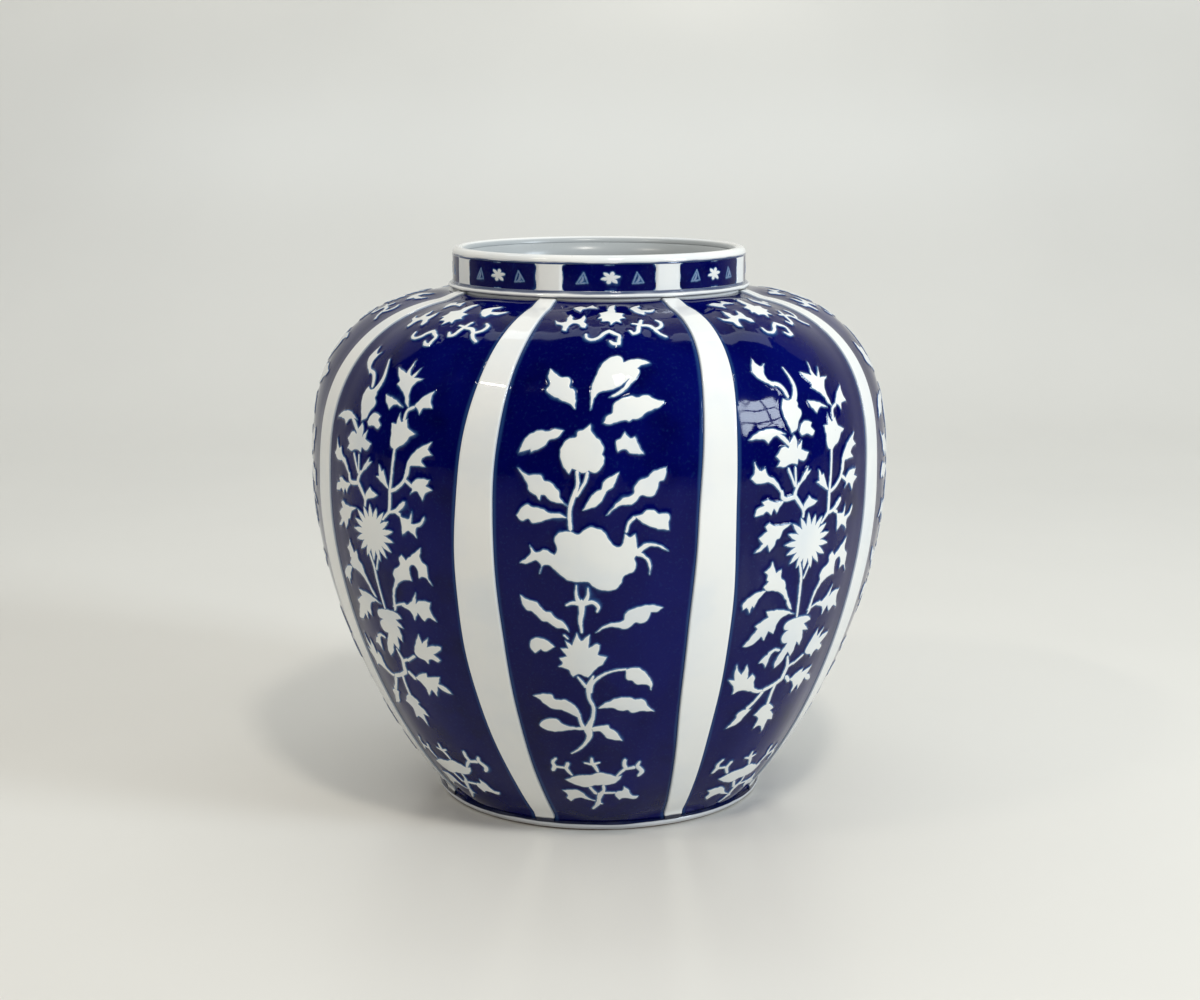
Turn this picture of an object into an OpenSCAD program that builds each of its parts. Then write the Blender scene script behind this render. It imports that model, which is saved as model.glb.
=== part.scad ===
// Lidless ginger jar: an eight-lobed porcelain body with a straight collar.
// Origin at the centre of the foot, on the standing plane. Front panel faces -Y.

/* [Jar] */
// Overall height, foot to rim
jar_h = 240; // [200:1:290]
// Diameter at the widest point, across the lobe crowns
belly_d = 252; // [205:1:305]
// Height of the widest point
belly_z = 141.6; // [115:0.2:172]
// Outside diameter of the foot ring
foot_d = 144; // [118:1:178]
// Inside diameter of the mouth
mouth_d = 115.6; // [94:0.2:140]

/* [Wall] */
// Thickness of the fired wall under the glaze fields
wall_t = 5.5; // [4:0.1:8]
// Thickness of the floor inside the foot ring
floor_t = 5.4; // [4:0.1:7]
// Height of the foot ring below the body
foot_h = 3.2; // [2.6:0.1:5]
// Width of the foot ring at its inside
foot_w = 8; // [6:0.5:10]
// Bevel that draws the foot ring in towards the standing edge
foot_bevel = 2; // [0.5:0.1:2.4]

/* [Lobes] */
// Depth of the valleys between the lobes
lobe_depth = 2.3; // [1:0.1:4]
// Roundness of the lower body, low is a straighter cone
lower_round = 0.87; // [0.7:0.01:1.05]
// Roundness of the shoulder, high is a squarer shoulder
shoulder_round = 2.9; // [2.2:0.05:3.5]

/* [Glaze fields] */
// Thickness of the white bands over the wall
band_t = 1.2; // [0.9:0.1:2]
// How far the cobalt ground lies below the bands
ground_drop = 0.5; // [0.2:0.1:0.7]
// Angle that a band spans at the shoulder
band_deg = 6.6; // [5:0.1:9]
// Extra angle of a band, at its widest
band_swell_deg = 2.4; // [0:0.1:4]
// How far the bands bow sideways towards foot and neck, in degrees
bow_deg = 4.6; // [0:0.1:8]

/* [Collar] */
// Height from the shoulder to the rim
collar_h = 17.8; // [14:0.1:22]
// Thickness of the collar wall
collar_t = 5.4; // [4:0.1:7]
// Height of the rounded white lip
lip_h = 3.3; // [2.6:0.1:5]
// Height of the bead at the foot of the collar
bead_h = 2.1; // [1.5:0.1:4]
// How far the bead stands out from the collar
bead_proud = 1.8; // [1:0.1:3]
// Depth of the cobalt plaques let into the collar
plaque_t = 0.6; // [0.4:0.1:1]
// Angle that one collar plaque spans
plaque_deg = 35; // [25:1:40]
// White margin above and below a plaque
plaque_margin = 0.9; // [0.3:0.1:1.5]
// Clearance between a glaze field and the wall under it
glaze_fit = 0.02; // [0:0.01:0.1]

/* [Hidden] */
lobes = 8;

$fn = 96;
pitch_deg = 360 / lobes;
front_deg = -90;
rows_half = 12;
rows = 2 * rows_half;
panel_cols = 8;
band_cols = 2;
white = "#eef0ec";
cobalt = "#14145c";
biscuit = "#d9cdb8";

belly_r = belly_d / 2;
foot_r = foot_d / 2;
foot_in_r = foot_r - foot_w;
mouth_r = mouth_d / 2;
collar_r = mouth_r + collar_t;
shoulder_z = jar_h - collar_h;
lip_z = jar_h - lip_h;
bead_top = shoulder_z + bead_h;
// Height about which the bands bow, how far from it they reach bow_deg, and their turn at that height
bow_mid = belly_z * 0.78;
bow_reach = shoulder_z / 2;
bow_turn = -0.8;
bow_power = 2.6;
// Height at which the bands are widest, and how fast they narrow from there
swell_z = belly_z * 0.58;
swell_reach = belly_z * 0.42;

// Crown outline: s runs from -1 at the foot, through 0 at the belly, to 1 at the collar.
function crown(s) = s < 0
    ? [foot_r + (belly_r - foot_r) * pow(cos(90 * s), 2 * lower_round),
       belly_z - (belly_z - foot_h) * pow(sin(-90 * s), 1.11)]
    : [collar_r + (belly_r - collar_r) * cos(90 * s),
       belly_z + (shoulder_z - belly_z) * pow(sin(90 * s), 2 / shoulder_round)];

function unit(v) = v / norm(v);
function tangent(s) = unit(crown(min(s + 0.003, 1)) - crown(max(s - 0.003, -1)));
// The outline's first stretch is nearly level, so the foot takes its normal from just above it.
lowest_normal = -0.95;
function outward(s) = let (t = tangent(max(s, lowest_normal))) s == 0 ? [1, 0] : s == 1 ? [0, 1] : [t[1], -t[0]];
function smooth(t) = let (c = min(max(t, 0), 1)) c * c * (3 - 2 * c);

// Lobes die away into the foot and under the collar bead.
function valley(s) = lobe_depth * smooth((1 - abs(s)) * 9);
function offset_in(s, depth) = crown(s) - outward(s) * depth;
function core(s) = offset_in(s, valley(s) + band_t);
function inner(s) = offset_in(s, valley(s) + band_t + wall_t);

// Angle of a band's centre away from straight, and half of its span, at a height.
function bow(z) = bow_turn + bow_deg * pow(abs(z - bow_mid) / bow_reach, bow_power);
function band_half(z) = (band_deg + band_swell_deg * exp(-pow((z - swell_z) / swell_reach, 2))) / 2;

stations = [for (i = [0:rows]) -1 + i / rows_half];
low_part = [for (s = stations) if (s <= 0) s];
high_part = [for (s = stations) if (s >= 0) s];
seat = inner(-1);

function reversed(list) = [for (i = [len(list) - 1:-1:0]) list[i]];
function polar(p, a) = [p[0] * cos(a), p[0] * sin(a), p[1]];

// How much of the valley depth a point has, from 0 on a crown to 1 in a valley.
function dip(a_from_crown) = (1 - cos(lobes * a_from_crown)) / 2;

// A closed skin over the core. It is centred on middle_deg and reaches half_of degrees to each side, in cols
// strips. Its face lies drop below the band level, and crown_at is the angle from its centre to a lobe's crown.
module skin(middle_deg, half_of, cols, drop, crown_at) {
    front = [for (s = stations, c = [0:cols])
        let (z = crown(s)[1], h = half_of[round((s + 1) * rows_half)], off = -h + 2 * h * c / cols)
        polar(offset_in(s, valley(s) * dip(off + crown_at) + drop), middle_deg + bow(z) + off)];
    back = [for (s = stations, c = [0:cols])
        let (z = crown(s)[1], h = half_of[round((s + 1) * rows_half)], off = -h + 2 * h * c / cols, p = core(s))
        polar([p[0] / cos(h / cols) + glaze_fit, p[1]], middle_deg + bow(z) + off)];
    w = cols + 1;
    n = w * (rows + 1);
    faces = concat(
        [for (r = [0:rows - 1], c = [0:cols - 1]) [r * w + c, (r + 1) * w + c, r * w + c + 1]],
        [for (r = [0:rows - 1], c = [0:cols - 1]) [r * w + c + 1, (r + 1) * w + c, (r + 1) * w + c + 1]],
        [for (r = [0:rows - 1], c = [0:cols - 1]) [n + r * w + c, n + r * w + c + 1, n + (r + 1) * w + c]],
        [for (r = [0:rows - 1], c = [0:cols - 1]) [n + r * w + c + 1, n + (r + 1) * w + c + 1, n + (r + 1) * w + c]],
        [for (r = [0:rows - 1]) [r * w, n + r * w, (r + 1) * w]],
        [for (r = [0:rows - 1]) [n + r * w, n + (r + 1) * w, (r + 1) * w]],
        [for (r = [0:rows - 1]) [r * w + cols, (r + 1) * w + cols, n + r * w + cols]],
        [for (r = [0:rows - 1]) [n + r * w + cols, (r + 1) * w + cols, n + (r + 1) * w + cols]],
        [for (c = [0:cols - 1]) [c, c + 1, n + c]],
        [for (c = [0:cols - 1]) [n + c, c + 1, n + c + 1]],
        [for (c = [0:cols - 1]) [rows * w + c, n + rows * w + c, rows * w + c + 1]],
        [for (c = [0:cols - 1]) [n + rows * w + c, n + rows * w + c + 1, rows * w + c + 1]]);
    polyhedron(points = concat(front, back), faces = faces, convexity = 4);
}

module turned(outline) {
    rotate_extrude() polygon(outline);
}

module foot_ring() {
    color(biscuit) turned([
        [foot_in_r, 0],
        [foot_r - foot_bevel, 0],
        [foot_r, foot_bevel],
        crown(-1),
        core(-1),
        seat,
        [foot_in_r, seat[1]]]);
}

module base_floor() {
    color(white) translate([0, 0, seat[1] - floor_t]) cylinder(r = foot_in_r, h = floor_t);
}

module lower_body() {
    color(white) turned(concat([for (s = low_part) core(s)], [for (s = reversed(low_part)) inner(s)]));
}

module upper_body() {
    color(white) turned(concat([for (s = high_part) core(s)], [for (s = reversed(high_part)) inner(s)]));
}

// A sector of the collar's outer skin, between two heights.
module collar_sector(i, z0, z1) {
    rotate(front_deg + (i - 1) * pitch_deg - plaque_deg / 2 + bow(shoulder_z))
        rotate_extrude(angle = plaque_deg)
            translate([collar_r - plaque_t, z0]) square([plaque_t, z1 - z0]);
}

module plaque(i) {
    collar_sector(i, bead_top + plaque_margin, lip_z - plaque_margin);
}

module neck_collar() {
    color(white) difference() {
        turned([
            [mouth_r, inner(1)[1]],
            [collar_r, inner(1)[1]],
            [collar_r, lip_z],
            [mouth_r, lip_z]]);
        for (i = [1:lobes]) plaque(i);
    }
}

// Half-round bead standing on the shoulder, against the collar.
module collar_bead() {
    color(white) turned(concat(
        [[collar_r, shoulder_z]],
        [for (a = [-60:20:80]) [collar_r + bead_proud * cos(a), shoulder_z + bead_h / 2 * (1 + sin(a))]],
        [[collar_r, bead_top]]));
}

module rim_lip() {
    mid = mouth_r + collar_t / 2;
    color(white) turned([for (a = [0:15:180]) [mid + collar_t / 2 * cos(a), lip_z + lip_h * sin(a)]]);
}

module cobalt_panel(i) {
    color(cobalt) skin(front_deg + (i - 1) * pitch_deg,
        [for (s = stations) pitch_deg / 2 - band_half(crown(s)[1])], panel_cols, ground_drop, 0);
}

module white_band(i) {
    color(white) skin(front_deg + (i - 0.5) * pitch_deg,
        [for (s = stations) band_half(crown(s)[1])], band_cols, 0, pitch_deg / 2);
}

module collar_plaque(i) {
    color(cobalt) plaque(i);
}

foot_ring();
base_floor();
lower_body();
upper_body();
neck_collar();
collar_bead();
rim_lip();
for (i = [1:lobes]) {
    cobalt_panel(i);
    white_band(i);
    collar_plaque(i);
}
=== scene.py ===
import bpy
import math
import numpy as np
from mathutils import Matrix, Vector
from mathutils.geometry import delaunay_2d_cdt
from mathutils.kdtree import KDTree


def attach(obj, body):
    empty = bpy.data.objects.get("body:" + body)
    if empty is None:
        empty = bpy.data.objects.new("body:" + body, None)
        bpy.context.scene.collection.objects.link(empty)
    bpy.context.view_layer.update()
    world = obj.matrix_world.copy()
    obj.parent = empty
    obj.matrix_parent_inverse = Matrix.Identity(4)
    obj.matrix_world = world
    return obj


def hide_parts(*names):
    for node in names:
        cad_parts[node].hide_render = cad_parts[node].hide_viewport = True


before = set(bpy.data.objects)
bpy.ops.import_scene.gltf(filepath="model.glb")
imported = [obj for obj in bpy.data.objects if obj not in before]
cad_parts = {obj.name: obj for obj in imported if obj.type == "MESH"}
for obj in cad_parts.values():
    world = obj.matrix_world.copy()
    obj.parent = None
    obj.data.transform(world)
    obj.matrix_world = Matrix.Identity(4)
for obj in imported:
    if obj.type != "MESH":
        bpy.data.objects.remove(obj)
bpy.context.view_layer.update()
print("frame loaded:", len(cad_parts), "nodes")

# the jar's outline, in millimetres
jar = {
    "footRadius": 72.0, "footHeight": 3.2, "bellyRadius": 126.0, "bellyHeight": 141.6,
    "collarRadius": 63.2, "mouthRadius": 57.8, "shoulderHeight": 222.2, "lipHeight": 236.7,
    "lowerPower": 1.74, "lowerRise": 1.11, "shoulderPower": 2 / 2.9,
    "lobes": 8, "lobeDepth": 2.3, "bandThickness": 1.2, "overlap": 0.03, "wall": 5.5,
    "bandAngle": 6.6, "bandSwell": 2.4, "swellHeight": 82.1, "swellReach": 59.5,  # angles in degrees
    "bowTurn": -0.8, "bow": 4.6, "bowHeight": 110.4, "bowReach": 111.1, "bowPower": 2.6,
    "lowDrift": {2: -0.8, 8: 0.8},  # degrees that single bands stray sideways at the foot
    "footEase": -0.95, "collarEase": 0.985,  # past these values of s, the facing is held or eased upright
}
lobePitch = 360 / jar["lobes"]  # degrees from one crown to the next


def easeIn(t):
    c = np.clip(t, 0, 1)
    return c * c * (3 - 2 * c)


def crownLine(s):
    # radius and height of a lobe's crown, s from -1 at the foot to 1 at the collar
    s = np.asarray(s, float)
    swing = np.maximum(np.cos(np.pi / 2 * s), 0)
    climb = np.sin(np.pi / 2 * np.abs(s))
    low = s < 0
    footR, bellyR, collarR = jar["footRadius"], jar["bellyRadius"], jar["collarRadius"]
    footZ, bellyZ, shoulderZ = jar["footHeight"], jar["bellyHeight"], jar["shoulderHeight"]
    radius = np.where(low, footR + (bellyR - footR) * swing ** jar["lowerPower"],
                      collarR + (bellyR - collarR) * swing)
    height = np.where(low, bellyZ - (bellyZ - footZ) * climb ** jar["lowerRise"],
                      bellyZ + (shoulderZ - bellyZ) * climb ** jar["shoulderPower"])
    return radius, height


# the outline is measured once: v is the distance along it from the foot
sLine = np.linspace(-1, 1, 4001)
rLine, zLine = crownLine(sLine)
vLine = np.concatenate([[0], np.cumsum(np.hypot(np.diff(rLine), np.diff(zLine)))])
vEnd = float(vLine[-1])
slopeR, slopeZ = np.gradient(rLine), np.gradient(zLine)
slopeLength = np.hypot(slopeR, slopeZ)
outR, outZ = slopeZ / slopeLength, -slopeR / slopeLength
footTurn, collarTurn = np.searchsorted(sLine, (jar["footEase"], jar["collarEase"]))
outR[:footTurn], outZ[:footTurn] = outR[footTurn], outZ[footTurn]
outR[collarTurn:] *= 1 - easeIn((sLine[collarTurn:] - jar["collarEase"]) / (1 - jar["collarEase"]))
outZ[collarTurn:] = np.sqrt(1 - outR[collarTurn:] ** 2)
valleyLine = jar["lobeDepth"] * easeIn((1 - np.abs(sLine)) * 9)


def along(v, table):
    return np.interp(v, vLine, table)


def bowAt(z):
    # sideways bow of the bands, in degrees
    return jar["bowTurn"] + jar["bow"] * (np.abs(z - jar["bowHeight"]) / jar["bowReach"]) ** jar["bowPower"]


def bandHalfAt(z):
    # half of the angle that a band spans
    swell = np.exp(-((z - jar["swellHeight"]) / jar["swellReach"]) ** 2)
    return (jar["bandAngle"] + jar["bandSwell"] * swell) / 2


def brushWobble(band, side, v):
    # the painter's hand along a band's edge, in degrees
    stray = jar["lowDrift"].get(band, 0) * np.exp(-(v / 45) ** 2)
    slow = 0.09 * np.sin(0.046 * v + 2.1 * band + side)
    quick = 0.05 * np.sin(0.141 * v + 1.3 * band + 2 * side)
    return stray + slow + quick


def atTurn(reach, turn, z):
    # points at a distance from the jar's axis, turned round it from the front
    reach, turn, z = np.broadcast_arrays(reach, turn, z)
    return np.stack([reach * np.sin(turn), -reach * np.cos(turn), z], -1)


def onJar(u, v, middle, fromCrown, depth, lobed=True):
    # u is the distance round from the middle line, which lies fromCrown degrees from a lobe's crown
    radius, height = along(v, rLine), along(v, zLine)
    off = np.degrees(u / radius)
    dip = (1 - np.cos(np.radians(jar["lobes"] * (off + fromCrown)))) / 2
    down = along(v, valleyLine) * (dip if lobed else 1) + depth
    turn = np.radians(middle + off + bowAt(height))
    return atTurn(radius - along(v, outR) * down, turn, height - along(v, outZ) * down)


# outlines and brush strokes are drawn flat, in millimetres, then laid on the jar
brush = {"spacing": 0.6, "corner": 72, "scallop": 0.11, "scallopPitch": 3.4, "stemWidth": 0.9, "lift": 0.8}


def unitRows(way):
    return way / np.maximum(np.hypot(way[:, 0], way[:, 1]), 1e-6)[:, None]


def smoothLine(points, closed):
    # a curve through the points that keeps its sharp tips
    p = np.array(points, float)
    last = len(p) if closed else len(p) - 1
    ends = np.roll(p, -1, 0)[:last]
    spans = (ends - p[:last])[:, :2]
    lengths = np.maximum(np.hypot(spans[:, 0], spans[:, 1]), 1e-6)
    units = spans / lengths[:, None]
    lines = []
    for k in range(last):
        here = units[k]
        before = here if not closed and k == 0 else units[k - 1]
        after = here if not closed and k == last - 1 else units[(k + 1) % last]
        pulls = []
        for other in (before, after):
            sharp = np.dot(here, other) < math.cos(math.radians(brush["corner"]))
            pull = here if sharp else here + other
            pulls.append(pull / max(math.hypot(*pull), 1e-6) * lengths[k])
        a, b = p[k], ends[k]
        steps = max(1, math.ceil(lengths[k] / brush["spacing"]))
        for q in range(steps):
            t = q / steps
            spot = ((2 * t ** 3 - 3 * t ** 2 + 1) * a[:2] + (t ** 3 - 2 * t ** 2 + t) * pulls[0]
                    + (3 * t ** 2 - 2 * t ** 3) * b[:2] + (t ** 3 - t ** 2) * pulls[1])
            lines.append([*spot, *(a[2:] * (1 - t) + b[2:] * t)])
    if not closed:
        lines.append(p[-1])
    return np.array(lines)


def strokeOutline(points):
    # a brush stroke through (u, v, width) points, as a closed outline
    line = smoothLine(points, False)
    way = unitRows(np.gradient(line[:, :2], axis=0))
    side = np.stack([-way[:, 1], way[:, 0]], -1) * line[:, 2:] / 2
    start = line[0, :2] - way[0] * line[0, 2] * 0.5
    end = line[-1, :2] + way[-1] * line[-1, 2] * 0.5
    return np.concatenate([[start], line[:, :2] - side, [end], (line[:, :2] + side)[::-1]])


def petalRing(centre, petals, inner, outer, lean=0.0, power=0.9):
    # a flower head with pointed petals of uneven length
    turn = np.linspace(0, 2 * np.pi, petals * 16, endpoint=False)
    wave = (1 - np.abs((petals * turn / (2 * np.pi) + lean) % 1 - 0.5) * 2) ** power
    reach = inner + (outer - inner) * wave * (1 + 0.14 * np.sin(3 * turn + 1) * np.cos(5 * turn))
    return np.stack([centre[0] + reach * np.cos(turn), centre[1] + reach * np.sin(turn)], -1)


def ringLeft(loop, away):
    # points beside a closed outline
    way = unitRows(np.roll(loop, -1, 0) - np.roll(loop, 1, 0))
    return loop + np.stack([-way[:, 1], way[:, 0]], -1) * away


def leafOutline(points, turn):
    # a leaf or petal, with the small scallops of a loaded brush along its edge
    loop = smoothLine(points, True)
    way = np.cumsum(np.hypot(*(np.roll(loop, -1, 0) - loop).T))
    swell = 0.65 + 0.35 * np.sin(2 * np.pi * way / 9.3 + 1.7 * turn)
    sway = brush["scallop"] * np.sin(2 * np.pi * way / brush["scallopPitch"] + turn) * swell
    return ringLeft(loop, sway[:, None])


def liesWithin(points, loop):
    # which points an outline winds round
    x, y = points[:, 0], points[:, 1]
    a, b = loop[:, None, :], np.roll(loop, -1, 0)[:, None, :]
    lean = (b[..., 0] - a[..., 0]) * (y - a[..., 1]) - (b[..., 1] - a[..., 1]) * (x - a[..., 0])
    up = (a[..., 1] <= y) & (b[..., 1] > y) & (lean > 0)
    down = (a[..., 1] > y) & (b[..., 1] <= y) & (lean < 0)
    return (up.sum(0) - down.sum(0)) != 0


def netOver(rim, loops, loose):
    # triangles that fill the rim and follow every outline drawn in it
    points = [Vector(p) for p in rim]
    edges = []
    for loop in loops:
        first = len(points)
        points += [Vector(p) for p in loop]
        edges += [(first + k, first + (k + 1) % len(loop)) for k in range(len(loop))]
    points += [Vector(p) for p in loose]
    found = delaunay_2d_cdt(points, edges, [list(range(len(rim)))], 1, 0.004)
    spots = np.array([(p[0], p[1]) for p in found[0]])
    tris = np.array([list(f) for f in found[2]])
    a, b, c = spots[tris[:, 0]], spots[tris[:, 1]], spots[tris[:, 2]]
    flip = ((b - a)[:, 0] * (c - a)[:, 1] - (b - a)[:, 1] * (c - a)[:, 0]) < 0
    tris[flip] = tris[flip][:, ::-1]
    return spots, tris


def nearestIn(spots):
    tree = KDTree(len(spots))
    for k, spot in enumerate(spots):
        tree.insert((*spot, 0), k)
    tree.balance()
    return lambda point: tree.find((*point, 0))


def distanceInto(spots, tris, inside):
    # distance to the nearest painted edge, positive in the white
    touching = np.bincount(tris.ravel(), minlength=len(spots))
    white = np.bincount(tris.ravel(), weights=np.repeat(inside, 3).astype(float), minlength=len(spots))
    nearest = nearestIn(spots[(white > 0) & (white < touching)])
    away = np.array([nearest(spot)[2] for spot in spots])
    return np.where(white > 0, away, -away)


def makePiece(name, points, faces, material, nodes, fields=None):
    mesh = bpy.data.meshes.new(name)
    mesh.from_pydata((np.asarray(points) * 0.001).tolist(), [], [list(f) for f in faces])
    for key, values in (fields or {}).items():
        mesh.attributes.new(key, "FLOAT", "POINT").data.foreach_set("value", np.asarray(values, np.float32))
    mesh.polygons.foreach_set("use_smooth", [True] * len(mesh.polygons))
    mesh.materials.append(material)
    mesh.update()
    piece = bpy.data.objects.new(name, mesh)
    bpy.context.scene.collection.objects.link(piece)
    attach(piece, "root")
    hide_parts(*nodes)
    return piece


def turnedFaces(rings, count, closed=True):
    # four-sided faces between rings of points
    faces = []
    for k in range(rings if closed else rings - 1):
        for c in range(count):
            d, q = (c + 1) % count, (k + 1) % rings
            faces.append([k * count + c, k * count + d, q * count + d, q * count + c])
    return faces


def turnedPiece(name, outline, material, nodes, count=240):
    # a closed outline of (radius, height) turned about the jar's axis
    turn = np.linspace(0, 2 * np.pi, count, endpoint=False)
    points = np.concatenate([atTurn(r, turn, z) for r, z in outline])
    faces = [f[::-1] for f in turnedFaces(len(outline), count)]
    return makePiece(name, points, faces, material, nodes)


def closedPlate(rim, loops, loose, coarse, frontOf, backOf, whiteOf, plan):
    # a decorated front, walls down its rim and a plain back, with the paint field and each point's (u, v)
    spots, tris = netOver(rim, loops, loose)
    paint = distanceInto(spots, tris, whiteOf(spots[tris].mean(1)))
    lift = easeIn((paint + plan["slopeOut"]) / (plan["slopeOut"] + plan["slopeIn"])) * plan["relief"]
    front = frontOf(spots, lift)
    pairs = {}
    for a, b, c in tris.tolist():
        for edge in ((a, b), (b, c), (c, a)):
            if edge[::-1] in pairs:
                del pairs[edge[::-1]]
            else:
                pairs[edge] = True
    loop = [next(iter(pairs))[0]]
    follow = {a: b for a, b in pairs}
    while follow[loop[-1]] != loop[0]:
        loop.append(follow[loop[-1]])
    backSpots, backTris = netOver(spots[loop], [], coarse)
    nearest = nearestIn(backSpots)
    first = len(spots)
    match = [first + nearest(spots[k])[1] for k in loop]
    faces = tris.tolist() + (backTris[:, ::-1] + first).tolist()
    for k in range(len(loop)):
        q = (k + 1) % len(loop)
        faces.append([loop[q], loop[k], match[k], match[q]])
    points = np.concatenate([front, backOf(backSpots)])
    paint = np.concatenate([paint, np.full(len(backSpots), -5.0)])
    return points, faces, paint, np.concatenate([spots, backSpots])


# linear colours of the glazes, and how sharply they shine
glaze = {
    "cobalt": (0.0006, 0.0010, 0.062), "cobaltDark": (0.0006, 0.0008, 0.030),
    "cobaltWashed": (0.0012, 0.0028, 0.088), "slate": (0.013, 0.042, 0.145), "halo": (0.075, 0.16, 0.30),
    "motif": (0.745, 0.75, 0.72), "motifShade": (0.66, 0.69, 0.70), "fainter": (0.085, 0.14, 0.30),
    "white": (0.785, 0.785, 0.755), "whiteShade": (0.71, 0.735, 0.74), "bandEdge": (0.17, 0.25, 0.37),
    "line": (0.030, 0.055, 0.14), "lineDark": (0.004, 0.008, 0.045), "iron": (0.25, 0.22, 0.18),
    # inside colours: the inner glaze coloured darker and greyer than the outside white, as painted shade for
    # the dim inside of the jar
    "inside": (0.46, 0.49, 0.50), "insidePaintedShade": (0.36, 0.385, 0.39),
    "foot": (0.60, 0.61, 0.62), "footShade": (0.50, 0.52, 0.54), "biscuit": (0.13, 0.075, 0.04),
    "gloss": 0.045, "footGloss": 0.14, "insideGloss": 0.12, "mouthDull": 0.2,  # roughness of each glaze
    "cobaltShine": 0.16, "whiteShine": 0.4, "ripple": 0.10,
}


def addNode(tree, kind, inputs=None, **settings):
    made = tree.nodes.new(kind)
    for key, value in settings.items():
        setattr(made, key, value)
    for key, value in (inputs or {}).items():
        if isinstance(value, bpy.types.NodeSocket):
            tree.links.new(value, made.inputs[key])
        else:
            made.inputs[key].default_value = value
    return made


def colour(value):
    return (*value, 1.0)


def mixColours(tree, factor, a, b):
    made = addNode(tree, "ShaderNodeMix", {0: factor}, data_type="RGBA")
    for slotNumber, value in ((6, a), (7, b)):
        if isinstance(value, bpy.types.NodeSocket):
            tree.links.new(value, made.inputs[slotNumber])
        else:
            made.inputs[slotNumber].default_value = colour(value)
    return made.outputs[2]


def stepped(tree, value, low, high):
    made = addNode(tree, "ShaderNodeMapRange", {"Value": value, "From Min": low, "From Max": high},
                   interpolation_type="SMOOTHSTEP")
    return made.outputs["Result"]


def mathOf(tree, operation, a, b):
    return addNode(tree, "ShaderNodeMath", {0: a, 1: b}, operation=operation).outputs[0]


def timesOf(tree, a, b):
    return mathOf(tree, "MULTIPLY", a, b)


def sumOf(tree, a, b):
    return mathOf(tree, "ADD", a, b)


def cloud(tree, where, scale, detail=3.0, stretch=None):
    if stretch:
        where = addNode(tree, "ShaderNodeMapping", {"Vector": where, "Scale": stretch}).outputs[0]
    noise = addNode(tree, "ShaderNodeTexNoise", {"Vector": where, "Scale": scale, "Detail": detail})
    return noise.outputs["Fac"]


def fallingStep(tree, value, low, high):
    return mathOf(tree, "SUBTRACT", 1.0, stepped(tree, value, low, high))


def waverOf(tree, where, scale, reach):
    # soft noise about zero
    return timesOf(tree, mathOf(tree, "SUBTRACT", cloud(tree, where, scale, 2.0), 0.5), reach)


def startGlaze(name):
    material = bpy.data.materials.new(name)
    material.use_nodes = True
    tree = material.node_tree
    tree.nodes.clear()
    where = addNode(tree, "ShaderNodeTexCoord").outputs["Object"]
    return material, tree, where


def finishGlaze(tree, where, tint, gloss, shine):
    # long soft waves and a fine orange peel in the glaze
    wave = cloud(tree, where, 34.0, 2.0)
    peel = cloud(tree, where, 420.0, 2.0)
    height = sumOf(tree, wave, timesOf(tree, peel, 0.035))
    bump = addNode(tree, "ShaderNodeBump", {"Height": height, "Strength": glaze["ripple"], "Distance": 0.002})
    wornPatch = stepped(tree, cloud(tree, where, 60.0, 4.0), 0.45, 0.75)
    rough = sumOf(tree, timesOf(tree, wornPatch, 0.06), gloss)
    skin = addNode(tree, "ShaderNodeBsdfPrincipled",
                   {"Base Color": tint, "Roughness": rough, "Normal": bump.outputs[0], "IOR": 1.5,
                    "Specular IOR Level": shine})
    out = addNode(tree, "ShaderNodeOutputMaterial")
    tree.links.new(skin.outputs[0], out.inputs[0])


def cobaltTint(tree, where):
    # brushed cobalt: washes, darker pools and a fine speckle
    wash = stepped(tree, cloud(tree, where, 22.0, 5.0, (1.0, 1.0, 0.45)), 0.42, 0.72)
    pool = stepped(tree, cloud(tree, where, 48.0, 4.0), 0.48, 0.78)
    speck = stepped(tree, cloud(tree, where, 900.0, 1.0), 0.55, 0.8)
    tint = mixColours(tree, wash, glaze["cobalt"], glaze["cobaltWashed"])
    tint = mixColours(tree, timesOf(tree, pool, 0.7), tint, glaze["cobaltDark"])
    return mixColours(tree, timesOf(tree, speck, 0.18), tint, glaze["slate"])


def whiteTint(tree, where, light, shade):
    # greyed porcelain: pale drifts, with scattered iron specks
    drift = stepped(tree, cloud(tree, where, 30.0, 4.0), 0.4, 0.75)
    tint = mixColours(tree, drift, light, shade)
    speck = addNode(tree, "ShaderNodeTexVoronoi", {"Vector": where, "Scale": 95.0}).outputs["Distance"]
    dot = fallingStep(tree, speck, 0.012, 0.035)
    return mixColours(tree, timesOf(tree, dot, 0.35), tint, glaze["iron"])


def fieldOf(tree, name):
    return addNode(tree, "ShaderNodeAttribute", attribute_name=name).outputs["Fac"]


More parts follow.
